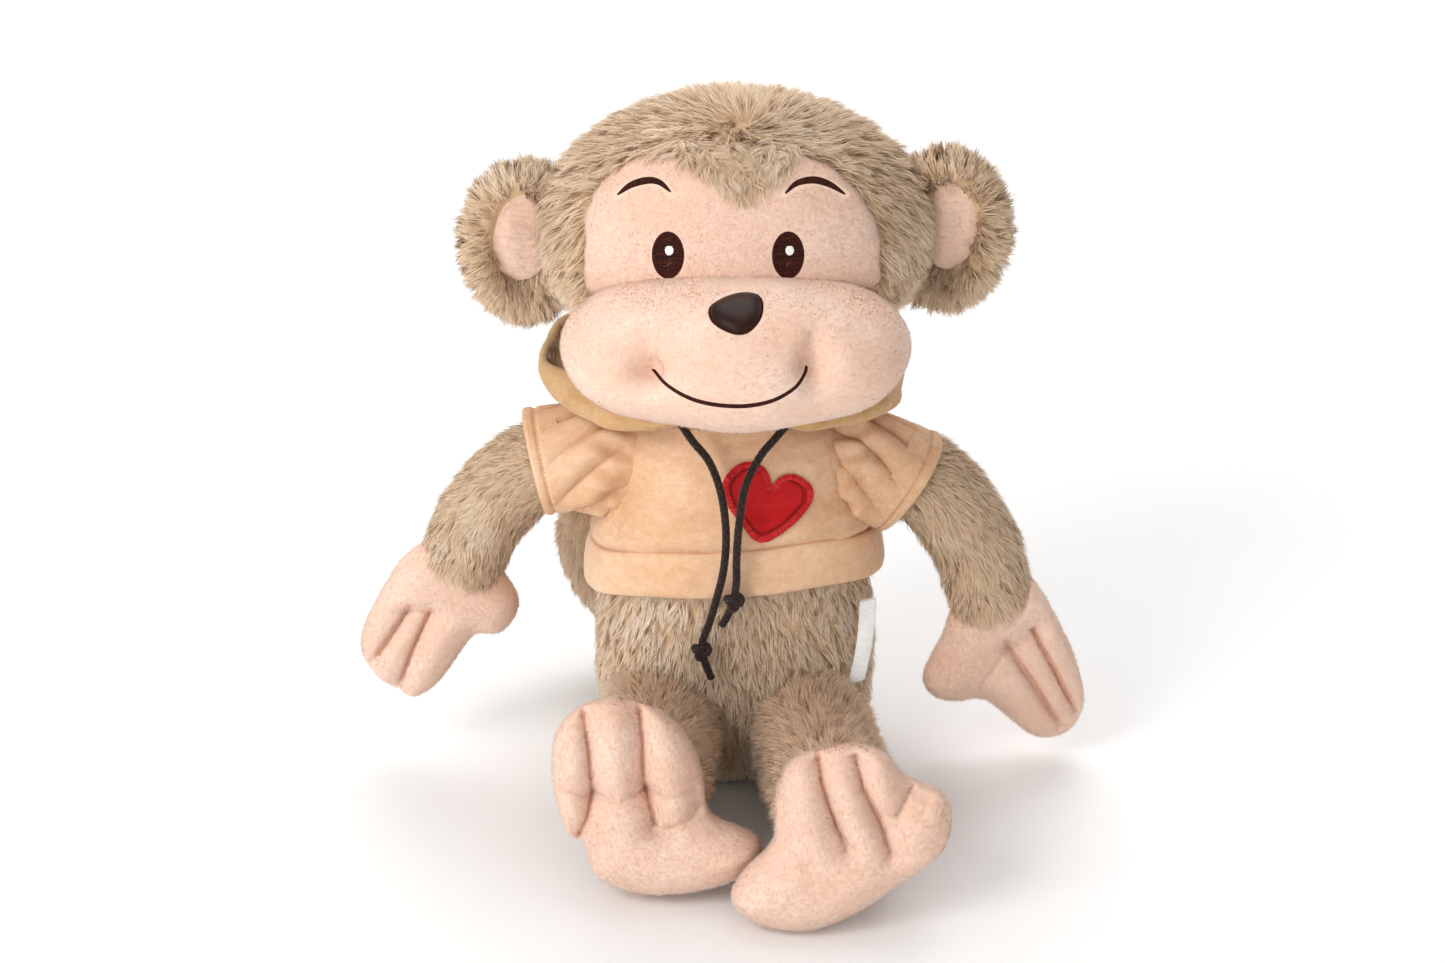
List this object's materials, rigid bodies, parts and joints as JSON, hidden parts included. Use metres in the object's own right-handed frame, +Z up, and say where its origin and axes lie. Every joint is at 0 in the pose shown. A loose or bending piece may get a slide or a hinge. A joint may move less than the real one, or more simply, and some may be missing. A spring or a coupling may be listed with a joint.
{
  "type": "stuffed monkey",
  "caption": "Seated plush monkey with furry body, peach face, hands and feet, wearing a hooded velour top with drawstrings and a heart patch.",
  "frame": {"origin": "middle of the flat seat, where the toy rests", "axes": "+Z up, the monkey faces -Y, its right hand is towards -X"},
  "size_m": [0.3244, 0.2378, 0.312],
  "materials": {
    "long_pile_fur": "long brushed pile",
    "minky": "short soft pile",
    "velour": "short nap",
    "floss": "satin stitch",
    "white_floss": "satin stitch",
    "satin": "padded satin",
    "red_satin": "satin with a stitched edge",
    "ribbon": "folded woven ribbon, blank",
    "cord": "braided",
    "polyester_fill": "loose fibre"
  },
  "bodies": {
    "torso": {"torso_fur": "long_pile_fur", "torso_stuffing": "polyester_fill", "hoodie_body": "velour", "hoodie_hem_band": "velour", "hood": "velour", "heart_patch": "red_satin", "side_label": "ribbon", "drawstring_left": "cord", "drawstring_knot_left": "cord", "drawstring_end_left": "cord", "drawstring_right": "cord", "drawstring_knot_right": "cord", "drawstring_end_right": "cord"},
    "neck": {"neck_stuffing": "polyester_fill"},
    "head": {"head_fur": "long_pile_fur", "face_mask": "minky", "muzzle": "minky", "head_stuffing": "polyester_fill", "mouth_stitching": "floss", "nose": "satin", "eye_left": "floss", "eye_highlight_left": "white_floss", "eyebrow_left": "floss", "eye_right": "floss", "eye_highlight_right": "white_floss", "eyebrow_right": "floss"},
    "left_ear": {"ear_left": "long_pile_fur", "ear_lining_left": "minky"},
    "left_arm": {"arm_fur_left": "long_pile_fur", "hand_left": "minky", "arm_stuffing_left": "polyester_fill", "sleeve_left": "velour"},
    "left_leg": {"leg_fur_left": "long_pile_fur", "foot_left": "minky", "leg_stuffing_left": "polyester_fill"},
    "right_ear": {"ear_right": "long_pile_fur", "ear_lining_right": "minky"},
    "right_arm": {"arm_fur_right": "long_pile_fur", "hand_right": "minky", "arm_stuffing_right": "polyester_fill", "sleeve_right": "velour"},
    "right_leg": {"leg_fur_right": "long_pile_fur", "foot_right": "minky", "leg_stuffing_right": "polyester_fill"},
    "tail": {"tail_fur": "long_pile_fur", "tail_stuffing": "polyester_fill"}
  },
  "joints": [
    {"name": "head_turn", "type": "hinge", "parent": "torso", "child": "neck", "pos_m": [0, 0, 0.172], "axis": [0, 0, 1], "range_deg": [-30, 30], "stiffness_Nm_per_rad": 4},
    {"name": "head_nod", "type": "hinge", "parent": "neck", "child": "head", "pos_m": [0, 0, 0.172], "axis": [1, 0, 0], "range_deg": [-12, 8], "stiffness_Nm_per_rad": 6},
    {"name": "left_ear_fold", "type": "hinge", "parent": "head", "child": "left_ear", "pos_m": [-0.074, 0.004, 0.241], "axis": [0, 0, 1], "range_deg": [-12, 12], "stiffness_Nm_per_rad": 0.15},
    {"name": "right_ear_fold", "type": "hinge", "parent": "head", "child": "right_ear", "pos_m": [0.074, 0.004, 0.246], "axis": [0, 0, -1], "range_deg": [-12, 12], "stiffness_Nm_per_rad": 0.15},
    {"name": "left_arm_swing", "type": "hinge", "parent": "torso", "child": "left_arm", "pos_m": [-0.05, 0, 0.14], "axis": [-1, 0, 0], "range_deg": [-20, 60], "stiffness_Nm_per_rad": 1},
    {"name": "right_arm_swing", "type": "hinge", "parent": "torso", "child": "right_arm", "pos_m": [0.048, 0, 0.138], "axis": [-1, 0, 0], "range_deg": [-20, 60], "stiffness_Nm_per_rad": 1},
    {"name": "left_leg_swing", "type": "hinge", "parent": "torso", "child": "left_leg", "pos_m": [-0.03, -0.022, 0.033], "axis": [1, 0, 0], "range_deg": [-6, 30], "stiffness_Nm_per_rad": 1.5},
    {"name": "right_leg_swing", "type": "hinge", "parent": "torso", "child": "right_leg", "pos_m": [0.031, -0.022, 0.033], "axis": [1, 0, 0], "range_deg": [-6, 30], "stiffness_Nm_per_rad": 1.5},
    {"name": "tail_swing", "type": "hinge", "parent": "torso", "child": "tail", "pos_m": [0, 0.052, 0.026], "axis": [0, 0, -1], "range_deg": [0, 30], "stiffness_Nm_per_rad": 0.5}
  ]
}
